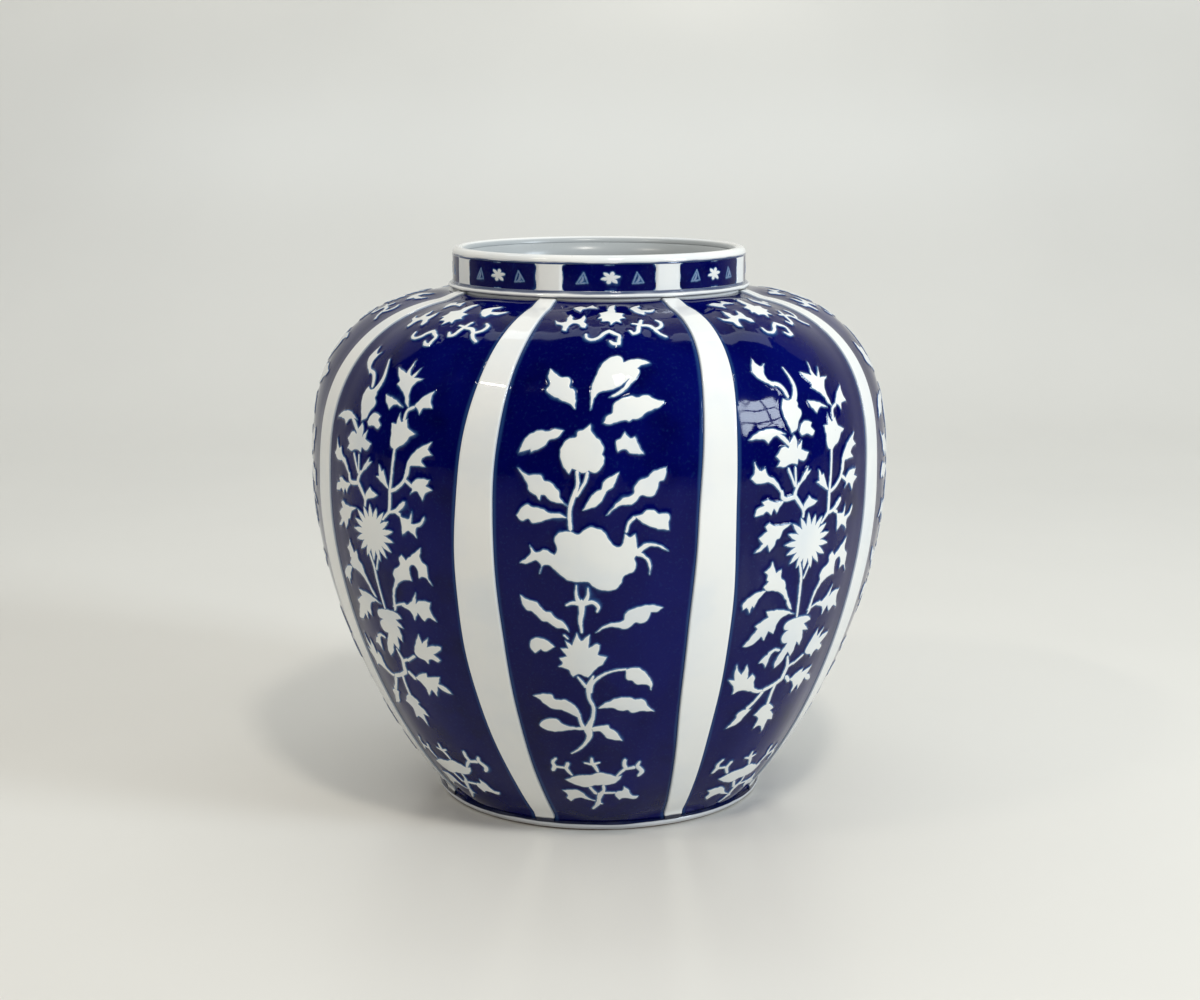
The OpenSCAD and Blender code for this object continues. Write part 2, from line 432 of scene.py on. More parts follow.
def paintedGlaze(name, halo=0.7):
    # reserved white on cobalt: the paint field is the distance into the white, in millimetres
    material, tree, where = startGlaze(name)
    paint, edge = fieldOf(tree, "paint"), fieldOf(tree, "edge")
    line = sumOf(tree, paint, waverOf(tree, where, 700.0, 0.5))
    ground = cobaltTint(tree, where)
    nearBand = fallingStep(tree, sumOf(tree, edge, waverOf(tree, where, 26.0, 2.6)), 0.5, 1.9)
    ground = mixColours(tree, timesOf(tree, nearBand, 0.9), ground, glaze["slate"])
    white = whiteTint(tree, where, glaze["motif"], glaze["motifShade"])
    white = mixColours(tree, fieldOf(tree, "faint"), white, glaze["fainter"])
    wet = timesOf(tree, stepped(tree, cloud(tree, where, 75.0, 2.0), 0.45, 0.8), 1.3)
    washed = stepped(tree, sumOf(tree, line, wet), -0.9, 0.5)
    ground = mixColours(tree, timesOf(tree, washed, 0.8), ground, glaze["slate"])
    rimmed = mixColours(tree, stepped(tree, line, -halo, -0.05), ground, glaze["halo"])
    tint = mixColours(tree, stepped(tree, line, -0.12, 0.22), rimmed, white)
    finishGlaze(tree, where, tint, glaze["gloss"], glaze["cobaltShine"])
    return material


def bandGlaze():
    # white band: a little bluer along its edges, with the dark foot line at its lower end
    material, tree, where = startGlaze("bandWhiteGlaze")
    edge, rise = fieldOf(tree, "edge"), fieldOf(tree, "rise")
    tint = whiteTint(tree, where, glaze["white"], glaze["whiteShade"])
    nearEdge = fallingStep(tree, edge, 0.0, 0.6)
    tint = mixColours(tree, timesOf(tree, nearEdge, 0.6), tint, glaze["bandEdge"])
    lowEnd = sumOf(tree, rise, waverOf(tree, where, 60.0, 1.2))
    tint = mixColours(tree, fallingStep(tree, lowEnd, 1.0, 1.6), tint, glaze["lineDark"])
    finishGlaze(tree, where, tint, glaze["gloss"], glaze["whiteShine"])
    return material


def linedGlaze(name, lines, light, shade, gloss):
    # white glaze with painted rings: each ring is (lowest, highest, colour, strength), heights in millimetres
    material, tree, where = startGlaze(name)
    tint = whiteTint(tree, where, light, shade)
    apart = addNode(tree, "ShaderNodeSeparateXYZ", {0: where}).outputs
    height = apart[2]
    flat = addNode(tree, "ShaderNodeCombineXYZ", {0: apart[0], 1: apart[1]}).outputs[0]
    reach = addNode(tree, "ShaderNodeVectorMath", {0: flat}, operation="LENGTH").outputs["Value"]
    outside = stepped(tree, reach, 0.0605, 0.0615)  # the rings stay on the outer side of the lip
    # painted shade for the inside of the mouth: darker grey glaze colours
    shadedInside = mixColours(tree, cloud(tree, where, 30.0), glaze["inside"], glaze["insidePaintedShade"])
    shadedMouth = fallingStep(tree, reach, 0.0583, 0.0592)  # painted shade: inside the mouth the glaze is coloured in the darker inside colours, and it is also duller
    tint = mixColours(tree, shadedMouth, tint, shadedInside)
    height = sumOf(tree, height, waverOf(tree, where, 55.0, 0.0009))
    for low, high, hue, strength in lines:
        rise = stepped(tree, height, (low - 0.15) / 1000, (low + 0.15) / 1000)
        fall = fallingStep(tree, height, (high - 0.15) / 1000, (high + 0.15) / 1000)
        stroke = sumOf(tree, 0.75, timesOf(tree, cloud(tree, where, 38.0), 0.5))
        stroke = timesOf(tree, timesOf(tree, stroke, strength), outside)
        cover = timesOf(tree, timesOf(tree, rise, fall), stroke)
        cover = addNode(tree, "ShaderNodeClamp", {0: cover}).outputs[0]
        tint = mixColours(tree, cover, tint, hue)
    rough = sumOf(tree, timesOf(tree, shadedMouth, glaze["mouthDull"]), gloss)
    finishGlaze(tree, where, tint, rough, glaze["whiteShine"])
    return material


panelPaint = paintedGlaze("cobaltPanelGlaze")
plaquePaint = paintedGlaze("collarPlaqueGlaze", 0.4)
bandWhite = bandGlaze()
blue, plainWhite = glaze["line"], (glaze["white"], glaze["whiteShade"], glaze["gloss"])
collarRings = [(235.75, 236.6, blue, 1.0), (224.3, 225.25, blue, 0.9)]
beadRings = [(221.5, 222.6, blue, 1.0), (224.05, 224.6, blue, 0.8)]
footRings = [(-1.0, 0.7, glaze["biscuit"], 1.0), (2.95, 5.5, glaze["lineDark"], 1.0)]
collarWhite = linedGlaze("collarWhiteGlaze", collarRings, *plainWhite)
lipWhite = linedGlaze("lipWhiteGlaze", [(236.2, 236.8, blue, 0.8)], *plainWhite)
beadWhite = linedGlaze("beadWhiteGlaze", beadRings, *plainWhite)
footGlaze = linedGlaze("footRingGlaze", footRings, glaze["foot"], glaze["footShade"], glaze["footGloss"])
# the inner walls and floor: white glaze coloured darker as painted shade, with no rings
insideShadedGlaze = linedGlaze("insideShadedGlaze", [], glaze["inside"], glaze["insidePaintedShade"], glaze["insideGloss"])
print("glazes ready")

# painted motifs: (u, v) outlines of leaves and petals, (u, v, width) strokes of stems
shoulderSpray = {
    "outlines": [
        [(-15, 256.5), (-12.5, 257.5), (-10, 255), (-7.5, 257.5), (-5.5, 252.5), (-10.5, 253.5),
         (-12.5, 250), (-14.5, 254)],
        [(1.5, 256), (1, 251), (1.5, 247), (4.5, 246.5), (4, 244), (5, 242.5), (3, 241), (3.5, 238.5),
         (1.5, 239.5), (-0.5, 237), (-1.5, 239.5), (-4, 239.5), (-4, 242), (-5.5, 242), (-4.5, 244.5),
         (-5, 247), (-2, 248.5), (-1.5, 252), (0.5, 256)],
        [(11.5, 258.5), (11.5, 256.5), (10.5, 254), (12, 251.5), (15, 252.5), (17.5, 254.5), (17, 252),
         (16, 250), (13, 249.5), (13, 246.5), (10.5, 247.5), (7.5, 252.5), (9, 255.5)],
        [(-22.5, 243), (-21, 241), (-18, 241), (-17.5, 245), (-16.5, 247.5), (-15.5, 245), (-15.5, 242.5),
         (-14, 242), (-12, 243.5), (-11, 246), (-10.5, 243), (-11, 240), (-10, 237.5), (-10.5, 235.5),
         (-12, 236), (-13, 238.5), (-15.5, 239.5), (-17, 237.5), (-18, 234), (-19.5, 235), (-19.5, 238),
         (-22, 240)],
    ],
    "strokes": [
        [(7, 233, 1), (8.5, 231, 1.6), (10, 232, 1.8), (10.5, 235.5, 1.8), (11.5, 241, 1.4)],
        [(8, 238, 1), (11, 237.5, 1.6)],
        [(11.5, 237, 1.6), (14.5, 237, 2), (17, 235, 1.8)],
        [(17.5, 242, 1), (19.5, 240, 1.6), (19.5, 237, 1.7), (17, 234.5, 1.8), (19, 232, 1.4),
         (22, 230, 1.2)],
        [(-10, 231, 1), (-9.5, 228.5, 1.4), (-7.5, 227.5, 1.5), (-5, 228.5, 1.5), (-3, 231, 1.8),
         (-1, 232.5, 2), (1, 231, 1.8), (3, 229.5, 1.4), (3, 227, 1.6), (3, 225, 1.8), (1, 225, 1.8),
         (-0.5, 226.5, 1)],
    ],
}
footSpray = {
    "outlines": [
        [(-16, 30), (-10.5, 33.5), (-5, 34.5), (-1.5, 36), (2, 35), (5, 33.5), (7.5, 33.5), (6.5, 31.5),
         (4.5, 29.5), (2, 28.5), (-4, 28), (-7.5, 26.5), (-13, 28)],
        [(8, 26.5), (9.5, 24.5), (11, 20), (13.5, 19), (12.5, 17.5), (7, 19), (5.5, 18), (4, 21),
         (4.5, 23.5), (7, 24)],
        [(-18, 22.5), (-11.5, 24), (-9.5, 22.5), (-7.5, 19.5), (-3.5, 17), (-7.5, 18), (-10.5, 19),
         (-13, 18), (-15, 15.5), (-16.5, 17.5), (-16, 20)],
    ],
    "strokes": [
        [(-19, 42.5, 1.2), (-20.5, 40, 1.6), (-20, 37.5, 2), (-21, 35, 1.6)],
        [(-20, 37.5, 1.4), (-15, 37.5, 1.4)],
        [(-14, 40.5, 1.6), (-15, 37.5, 1.8), (-14, 35, 1.5), (-13, 33.5, 1)],
        [(-4, 44.5, 1), (-4, 41.5, 2), (-3, 39.5, 1.8), (-2, 36.5, 1.2)],
        [(-7, 41.5, 0.8), (-4, 41, 1.8), (-1, 42, 0.8)],
        [(9.5, 43, 1.6), (9, 40.5, 1.8), (9.5, 38, 2)],
        [(9.5, 38, 1.6), (7.5, 36, 1.5), (5.5, 33.5, 1)],
        [(9.5, 37.5, 1.4), (13, 38, 2)],
        [(15.5, 41, 1), (14.5, 38.5, 2), (16, 35, 2.4), (14.5, 32.5, 1.4)],
        [(-6, 26.5, 1.4), (-4, 22.5, 1.6)],
        [(-0.5, 28, 1.3), (-0.5, 25, 1.3), (-1.5, 23, 2)],
        [(-2, 22.5, 2.8), (-3, 19, 1.7), (-3.5, 16, 2.2), (-6, 11.5, 0.9)],
        [(-3.5, 16, 1.5), (-2, 15.5, 0.8)],
        [(-1.5, 23, 1.5), (4, 23, 1.3)],
    ],
}
pomegranateTree = {
    "outlines": [
        [(-22.5, 213), (-17.5, 209), (-15, 209), (-14, 207), (-14, 204.5), (-12.5, 204), (-11.5, 201.5),
         (-11, 196), (-14, 198.5), (-16, 199), (-17.5, 200), (-20, 201), (-23, 203.5), (-23, 204.5),
         (-22, 205.5), (-23, 210)],
        [(-5, 195.5), (-5.5, 205), (-4.5, 209), (-2, 215.5), (2, 218.5), (4.5, 218), (5.5, 215.5), (9, 217),
         (12.5, 217), (16, 215.5), (13, 214.5), (11, 213), (12, 212), (9, 205.5), (5, 201.5), (1.5, 200.5),
         (6.5, 204.5), (8.5, 208.5), (5, 205), (1.5, 203.5), (-1.5, 203), (-3.5, 201.5)],
        [(0.5, 190.5), (1.5, 193), (3.5, 194.5), (3.5, 197.5), (9.5, 201), (12.5, 200.5), (15.5, 201.5),
         (20, 199.5), (23, 199), (23, 198), (16.5, 194.5), (13.5, 192), (11.5, 192), (10.5, 191),
         (9, 191.5), (1.5, 190)],
        [(-14.5, 187.5), (-17.5, 188), (-21.5, 187), (-23, 187.5), (-29, 184.5), (-31.5, 178.5), (-27, 180),
         (-26.5, 179), (-23, 180.5), (-21.5, 181.5), (-19.5, 184), (-17, 184.5)],
        [(17, 178.5), (11.5, 179), (9.5, 180.5), (7, 179.5), (6, 183.5), (7.5, 184.5), (9, 187),
         (10, 185.5), (11.5, 184.5), (13, 185), (15.5, 180.5)],
        [(-4.5, 190), (-4, 187.5), (1, 182), (1.5, 180), (1, 178.5), (2, 177), (0, 172), (-2, 171.5),
         (-3.5, 172.5), (-4.5, 171.5), (-10, 173), (-11, 171), (-12.5, 172.5), (-14, 175), (-15, 178),
         (-15, 180), (-14, 182.5), (-12, 184.5), (-9.5, 185), (-9, 187), (-6.5, 188)],
        [(-31.5, 172.5), (-27.5, 170), (-22, 170), (-20.5, 168), (-18, 167.5), (-16.5, 166), (-14.5, 164),
         (-14, 161.5), (-11, 158.5), (-13, 159.5), (-16.5, 160), (-19, 161.5), (-20, 162.5), (-21.5, 162.5),
         (-22, 160.5), (-24, 162.5), (-26.5, 164), (-27, 166)],
        [(-31, 154), (-29.5, 156.5), (-27, 158.5), (-24.5, 157.5), (-22, 157.5), (-17.5, 155.5),
         (-14, 155.5), (-11, 154), (-17.5, 153.5), (-21.5, 152), (-24.5, 151.5), (-26.5, 153), (-29, 152)],
        [(-5, 157), (-0.5, 164), (1.5, 165), (2.5, 168), (8, 171.5), (7, 168.5), (6, 166), (3.5, 164),
         (2.5, 161.5), (0.5, 159)],
        [(4, 155), (10, 161.5), (14, 163), (14.5, 166), (16.5, 168.5), (19.5, 169.5), (20.5, 171),
         (22.5, 172), (26.5, 173), (26, 168.5), (24, 167.5), (23.5, 165), (21.5, 162), (17, 162.5),
         (15, 160), (12.5, 159), (9.5, 159)],
        [(15, 154.5), (17.5, 155), (19.5, 156.5), (22.5, 156.5), (24.5, 155), (28, 155), (29, 153.5),
         (28.5, 151), (29, 148.5), (23.5, 149.5), (19, 151.5)],
        [(-29.5, 135), (-27, 137), (-25, 139.5), (-25.5, 142.5), (-23.5, 140), (-21.5, 140), (-20, 141),
         (-15.5, 139), (-14.5, 141.5), (-15.5, 145), (-15, 147), (-12, 148.5), (-9, 148.5), (-6.5, 147.5),
         (-4.5, 149), (-2, 150.5), (0.5, 150), (3, 149), (6.5, 144), (9, 142.5), (10.5, 143.5),
         (11.5, 147.5), (13.5, 146.5), (15.5, 147.5), (16.5, 141.5), (19.5, 143.5), (22.5, 143.5),
         (26.5, 142), (29, 140), (22.5, 142.5), (19.5, 141.5), (18, 140), (20.5, 138), (22, 135),
         (21.5, 131), (21, 134.5), (19.5, 137.5), (16, 139), (15.5, 138), (16, 135), (15, 132.5),
         (11.5, 131), (10, 127.5), (8, 125.5), (4.5, 125), (0.5, 126), (-2.5, 128.5), (-6.5, 128.5),
         (-10, 129), (-13, 131), (-17, 134.5), (-18, 135), (-20, 134.5), (-21.5, 131), (-21, 135),
         (-23, 136.5), (-26.5, 135)],
        [(-29.5, 121.5), (-27, 120), (-23, 119), (-19.5, 115.5), (-17, 115), (-15.5, 113), (-12.5, 111.5),
         (-11, 109.5), (-10, 107), (-12, 108.5), (-14.5, 108.5), (-16.5, 109.5), (-18.5, 111), (-20, 111),
         (-25, 115), (-27, 115.5), (-28.5, 117.5)],
        [(0.5, 107), (3, 109.5), (6.5, 111), (10, 111.5), (11.5, 112.5), (12, 115), (14, 116.5), (20, 118),
         (23, 118), (27, 116.5), (24.5, 115), (22, 115), (21.5, 113), (20, 111), (18, 110.5), (16.5, 111),
         (12.5, 108.5), (7, 109.5), (4, 109)],
        [(-2, 106), (-2.5, 100), (1, 102), (2, 101.5), (1, 97), (4.5, 96), (3, 93), (0.5, 91), (-3, 86.5),
         (-7, 88), (-9, 86.5), (-11, 90), (-14.5, 91), (-13, 92.5), (-14, 95), (-11, 96), (-13.5, 99.5),
         (-10.5, 99.5), (-11.5, 103), (-9, 101), (-7, 106.5), (-5.5, 103)],
        [(-16, 100), (-18, 102), (-23, 103.5), (-25, 102.5), (-26, 100.5), (-25.5, 98), (-24, 96.5),
         (-22.5, 97.5), (-21.5, 98.5), (-20, 97.5), (-18, 98.5)],
        [(12, 90), (15, 90.5), (17.5, 90), (22, 84), (22.5, 82), (22, 79), (21, 81.5), (15.5, 83),
         (14.5, 84.5), (12.5, 85)],
        [(-26, 75.5), (-21.5, 77), (-18, 77), (-17, 75), (-12.5, 75), (-10, 73.5), (-8, 71), (-7, 67.5),
         (-8, 66.5), (-9.5, 67.5), (-15, 70), (-18, 70), (-20.5, 71.5), (-24.5, 75)],
        [(0.5, 71.5), (3, 74), (5.5, 75), (7, 76), (14, 76), (15.5, 75), (18, 75), (19.5, 73.5), (20.5, 71),
         (23, 68), (17, 69), (14, 68.5), (12, 70), (9, 70), (6.5, 71.5)],
        [(-24, 60), (-24, 61.5), (-18, 65), (-16.5, 64.5), (-14.5, 62.5), (-11.5, 61.5), (-5, 61.5),
         (-5, 60), (-10, 60), (-19.5, 58)],
        [(-3, 61.5), (1.5, 62.5), (4, 62.5), (4.5, 61), (6.5, 59.5), (9, 54), (3, 56), (0.5, 59.5),
         (-2.5, 59.5)],
    ],
    "strokes": [
        [(-9.5, 149.5, 1.6), (-10, 157, 1.6), (-9, 161.5, 1.8), (-7.5, 166.5, 1.5), (-8, 172, 1.3)],
        [(-7.5, 162.5, 1.2), (-4.5, 168.5, 1.3), (-4, 171.5, 1.3)],
        [(12, 148.5, 1), (13, 152, 1.2), (15, 154, 1.4)],
        [(-7, 127, 0.5), (-7, 123, 1.3), (-6, 119.5, 2.2)],
        [(-2.5, 126, 0.5), (-2.5, 123, 1.4), (-4, 119.5, 2.2)],
        [(-11, 118.5, 0.8), (-9, 119.5, 1.4), (-6, 119.5, 2)],
        [(1, 116, 0.8), (1.5, 118, 1.5), (-0.5, 120, 1.6), (-4, 119.5, 2)],
        [(-5, 120, 3), (-5, 116, 2.3), (-5.5, 112, 1.8), (-5, 107, 0.8)],
        [(-12, 105.5, 0.8), (-10.5, 104, 0.7)],
        [(-2.5, 79.5, 2), (-1.5, 83.5, 1.6), (2.5, 87.5, 1.2), (7, 89.5, 0.9), (12, 90, 0.9)],
        [(-7, 86.5, 0.9), (-4, 82, 1.5)],
        [(-1, 87, 1), (-3, 82.5, 2)],
        [(-3, 81.5, 2.4), (-3, 76.5, 1.5), (-1.5, 72, 1.5), (-2, 67, 1.6), (-4, 61.5, 3)],
        [(-7.5, 67, 1.4), (-7, 64, 1.4), (-6, 61, 2)],
        [(-4.5, 61, 4), (-4, 57, 2.5), (-5.5, 53.5, 1.5), (-8.5, 49.5, 1.1), (-12, 46.5, 0.5)],
    ],
}
sunflowerTree = {
    "outlines": [
        [(-26, 215.5), (-25, 212.5), (-24, 211.5), (-21.5, 212.5), (-23, 210), (-23.5, 207.5), (-23, 205.5),
         (-20.5, 203), (-21, 202), (-27, 206.5), (-28.5, 209)],
        [(-18, 196.5), (-15.5, 195.5), (-13.5, 196), (-11, 194), (-11.5, 192.5), (-10, 191), (-10.5, 188.5),
         (-12, 187), (-13, 184), (-16, 182.5), (-19.5, 193)],
        [(-36.5, 181.5), (-32.5, 184), (-28.5, 185), (-25, 185), (-19, 182.5), (-22.5, 182.5),
         (-25.5, 181.5), (-27.5, 179.5), (-29, 181)],
        [(-12, 182.5), (-10, 186), (-7.5, 186.5), (-5, 185.5), (-5.5, 184), (-3.5, 182), (-5, 180.5),
         (-8, 181.5), (-10.5, 181)],
        [(-23.5, 170), (-20, 169.5), (-17, 170.5), (-13.5, 170), (-13, 172), (-10, 171), (-7.5, 174),
         (-11.5, 175.5), (-11, 179), (-13, 177), (-13.5, 176), (-14, 180.5), (-15, 181.5), (-17, 179),
         (-18, 176.5), (-20, 177.5), (-24, 174), (-22, 172)],
        [(-5.5, 206.5), (0.5, 204.5), (1.5, 210.5), (2.5, 204.5), (4, 203.5), (6.5, 207.5), (5.5, 203),
         (10, 203), (7.5, 201), (6.5, 198), (9, 190.5), (6.5, 192.5), (5, 195), (-1.5, 199.5), (-1, 201),
         (-3, 203)],
        [(-5.5, 194.5), (1, 193), (6, 190.5), (1, 191), (-1, 189), (-4.5, 192.5)],
        [(18, 198.5), (18, 195), (20, 191.5), (16, 191), (15, 188.5), (13.5, 190.5), (11.5, 191.5),
         (14, 195.5)],
        [(5.5, 188), (6.5, 185.5), (7.5, 184.5), (10, 186), (11, 183), (15.5, 180.5), (13, 179), (11, 176),
         (9, 175), (6.5, 173), (4, 175), (3.5, 179.5), (2.5, 183.5), (5, 183.5)],
        [(24, 178), (18.5, 175), (14, 169.5), (13, 163), (14.5, 163.5), (15.5, 167.5), (18.5, 168),
         (22.5, 168), (20.5, 170), (21, 171.5), (25, 173), (22.5, 175)],
        [(25, 163), (23.5, 160.5), (26.5, 159), (23.5, 157.5), (22, 154.5), (20.5, 157), (19, 158),
         (16, 156.5), (17, 158), (16.5, 159.5), (18.5, 162.5)],
        [(-1.5, 166.5), (0.5, 164), (1.5, 164.5), (4, 159), (5, 157), (-2.5, 161.5), (-1, 162)],
        [(23, 148), (23, 146.5), (21, 144), (19, 143), (19, 139), (16.5, 141), (15, 141.5), (12, 139.5),
         (11.5, 145), (10.5, 147.5), (13, 146.5), (15.5, 146.5), (17, 149.5), (17, 146.5), (16.5, 144.5),
         (20, 145)],
        [(-12.5, 162), (-10.5, 165), (-7.5, 168.5), (-8, 166.5), (-6, 167), (-9, 164), (-12, 161.5)],
        [(-34, 172.5), (-31.5, 169), (-29, 169.5), (-28, 167), (-24.5, 165), (-20, 158.5), (-21.5, 159.5),
         (-24.5, 162.5), (-27, 164), (-32.5, 164), (-35.5, 166), (-34, 168.5)],
        [(-33, 151), (-29.5, 151.5), (-28, 152.5), (-25.5, 151), (-24.5, 153.5), (-23, 151.5), (-21.5, 154),
         (-19.5, 156), (-24.5, 156), (-27, 157), (-30, 156.5), (-29, 155), (-32.5, 153.5)],
        [(-1.5, 154), (-4.5, 152.5), (-7, 152), (-9, 150.5), (-9.5, 152.5), (-8, 155), (-6.5, 156.5),
         (-4.5, 155)],
        [(-15.5, 146.5), (-24, 146.5), (-26.5, 147.5), (-28, 146.5), (-27, 144.5), (-30.5, 142), (-30, 141),
         (-28.5, 139.5), (-32, 136), (-29.5, 136.5), (-26.5, 139), (-25, 136), (-23, 138.5), (-22, 141),
         (-21, 141), (-19.5, 144)],
        [(-9, 109.5), (-14.5, 119.5), (-15.5, 122.5), (-17.5, 124), (-18, 128), (-20.5, 126.5),
         (-23, 131.5), (-24, 129), (-26, 127.5), (-24.5, 126), (-24.5, 124), (-23.5, 123.5), (-25.5, 121),
         (-24, 119.5), (-20, 119), (-16.5, 117.5), (-13.5, 114.5), (-10.5, 110)],
        [(-24, 119.5), (-28, 119), (-31.5, 117), (-34, 114.5), (-33.5, 112), (-32, 113), (-30, 110.5),
         (-29.5, 113.5), (-28.5, 112.5), (-27, 116)],
        [(1, 105.5), (1.5, 110), (2.5, 114.5), (5, 120), (4.5, 122.5), (6, 124.5), (9, 126.5), (9, 129.5),
         (10.5, 131), (12.5, 129), (20.5, 135), (20, 130), (22.5, 127.5), (22.5, 123), (24, 119.5),
         (20.5, 123), (18, 122), (17.5, 126.5), (15.5, 127.5), (14, 126.5), (14, 120.5), (11, 120.5),
         (7.5, 119), (5, 116.5), (3, 112), (2, 106)],
        [(5.5, 108.5), (11, 110.5), (15, 115.5), (14, 110.5), (16, 112), (21.5, 112), (20.5, 109),
         (22.5, 103.5), (19, 105), (16.5, 103), (14, 106.5), (11.5, 103), (10.5, 106.5), (7.5, 108)],
        [(-7, 107), (-10, 108.5), (-15, 110), (-22, 110), (-20.5, 107.5), (-26, 104), (-24.5, 102.5),
         (-29.5, 95), (-26.5, 95), (-23, 97.5), (-22, 99), (-20, 97), (-19, 101), (-16, 99.5),
         (-15.5, 103.5), (-14, 106), (-10, 107.5)],
        [(3, 104), (4, 102.5), (0.5, 101.5), (4, 98), (0.5, 98.5), (1.5, 95), (1, 91.5), (-1.5, 93.5),
         (-2, 89.5), (-3, 87), (-5.5, 89.5), (-7.5, 85), (-10.5, 82.5), (-11, 85), (-7, 94), (-9, 94),
         (-11, 96.5), (-10, 99), (-8, 100), (-10.5, 100.5), (-11, 102.5), (-9.5, 104), (-5, 105), (0, 105)],
        [(-15.5, 83.5), (-14.5, 90), (-17.5, 89), (-19.5, 86), (-17.5, 86)],
        [(6.5, 87), (8.5, 92), (11.5, 96.5), (12, 92.5), (16, 95.5), (14, 91), (17.5, 92), (21.5, 92),
         (20.5, 90.5), (16.5, 88), (19, 85.5), (17.5, 84.5), (14, 85.5), (12, 83), (10.5, 84.5),
         (7.5, 85.5)],
        [(1.5, 74.5), (5.5, 77), (9, 78), (8.5, 76), (15.5, 77), (13.5, 73.5), (16.5, 72), (18.5, 69),
         (15, 70), (12.5, 72), (10, 67), (8.5, 70), (5.5, 66.5), (5.5, 70), (4, 72.5)],
        [(-12.5, 72), (-17.5, 73.5), (-19, 76), (-19.5, 79.5), (-21, 81), (-23, 79), (-23.5, 82.5),
         (-25, 86), (-26.5, 81.5), (-28.5, 83.5), (-30, 86.5), (-30, 82.5), (-29, 79), (-32, 79.5),
         (-28, 74.5), (-28, 72), (-24.5, 73.5), (-20, 72.5), (-15, 71)],
        [(-25, 53.5), (-20, 56), (-18, 59.5), (-16, 62.5), (-18, 63), (-22, 61), (-22, 59)],
        [(-8, 64), (-5, 63), (-3, 61), (-4.5, 60), (-2, 57.5), (-1, 54.5), (-4, 55), (-4.5, 48.5),
         (-7.5, 52.5), (-10.5, 51.5), (-10, 57), (-13, 59)],
    ],
    "strokes": [
        [(-21.5, 203.5, 1.6), (-18.5, 202.5, 1.8), (-16.5, 200, 1.8), (-15.5, 197, 1.5)],
        [(-13.5, 209.5, 0.6), (-12, 205.5, 1.2), (-11, 201.5, 1.8), (-11.5, 198, 2.4), (-13, 195, 3)],
        [(-23.5, 183, 1), (-20.5, 181, 2), (-17.5, 178, 1.6)],
        [(8.5, 185.5, 1.5), (9, 189.5, 1.4), (11.5, 191, 1.4)],
        [(6.5, 173.5, 1.3), (6, 161.5, 1.3), (5.5, 156.5, 1.6)],
        [(5.5, 156.5, 1.6), (9, 158, 1.5), (13, 162, 1.6), (13.5, 164, 1.5)],
        [(13, 162, 1.4), (17, 159.5, 1.4)],
        [(5.5, 156.5, 1.6), (5.5, 152.5, 1.6), (5, 148, 1.6), (4, 147, 1.4), (1.5, 144.5, 1)],
        [(5, 148, 1.4), (7.5, 148.5, 1.4), (9, 149, 1.8), (11.5, 151, 2.4), (13, 152.5, 1.8)],
        [(9, 148.5, 1.4), (11, 147.5, 1.6)],
        [(-14.5, 157, 2), (-14, 159.5, 1.6), (-12.5, 162, 1.5)],
        [(-14.5, 161.5, 1.2), (-18, 168.5, 1.2)],
        [(-14, 161, 1), (-14.5, 168.5, 1)],
        [(-14.5, 157, 1.8), (-20, 157, 2), (-21, 160, 1.4)],
        [(-14, 157, 1.8), (-11.5, 154, 1.6), (-9.5, 151, 1.4), (-9.5, 148.5, 1.2)],
        [(-9, 129.5, 1.3), (-7, 123.5, 1.4), (-6.5, 118.5, 1.4), (-5, 105.5, 1.1)],
        [(-3, 129, 1), (-5.5, 122.5, 1)],
        [(1, 107.5, 0.8), (5, 109, 1), (8, 109.5, 1.4)],
        [(-10.5, 91, 1.2), (-13, 91.5, 1.4), (-15.5, 90, 2)],
        [(0.5, 82.5, 1.2), (5.5, 85.5, 1.4)],
        [(-1.5, 76.5, 2), (1, 74, 2)],
        [(-4.5, 87, 1), (-3, 82, 2), (-3.5, 78.5, 2.2), (-4, 76, 2.4)],
        [(0.5, 83, 1.2), (-3, 81.5, 1.6)],
        [(-4, 76, 2.2), (-7.5, 74, 1.8), (-12.5, 72, 2)],
        [(-7, 74, 1.6), (-7.5, 69, 1.5), (-7.5, 64, 1.8)],
        [(-13, 71, 2), (-15.5, 66.5, 1.5), (-18, 63.5, 2)],
    ],
    "heads": [((-5.4, 137.8), 17, 7.0, 11.9)],
}


def drawnLoops(group, shift=(0, 0)):
    loops = [leafOutline(points, turn) for turn, points in enumerate(group["outlines"])]
    for points in group["strokes"]:
        loops.append(strokeOutline([(u, v, width * brush["stemWidth"]) for u, v, width in points]))
    loops += [petalRing(*head) for head in group.get("heads", [])]
    return [loop + np.array(shift) + (0, brush["lift"]) for loop in loops]


# the eight cobalt panels, in millimetres
panel = {
    "edgeDepth": 0.74, "ground": 1.0, "dish": 8.0, "relief": 0.48, "slopeOut": 1.3, "slopeIn": 0.5,
    "net": 2.1, "coarseNet": 9.0, "margin": 1.3,
}
# how far each plan moves its sprays and its tree, and spreads the tree's left and right sides
pomegranates = {"tree": pomegranateTree, "shoulder": (0, 0), "main": (0, 0), "foot": (0, 0), "spread": (0, 0)}
sunflowersRight = {"tree": sunflowerTree, "shoulder": (-0.7, -0.3), "main": (0, 0), "foot": (-0.3, -7.8),
                   "spread": (0, 4)}
sunflowersLeft = {"tree": sunflowerTree, "shoulder": (3, -4.3), "main": (4, 2), "foot": (3.5, -3.8),
                  "spread": (4, 0)}
panelPlans = [pomegranates, sunflowersRight] * 2 + [pomegranates, sunflowersLeft] * 2


def panelEdges(number, v):
    # u of the panel's left and right edge at v
    radius, height = along(v, rLine), along(v, zLine)
    half = bandHalfAt(height)
    left = half - lobePitch / 2 + brushWobble((number - 2) % jar["lobes"] + 1, 1, v)
    right = lobePitch / 2 - half + brushWobble(number, 0, v)
    return np.radians(left) * radius, np.radians(right) * radius


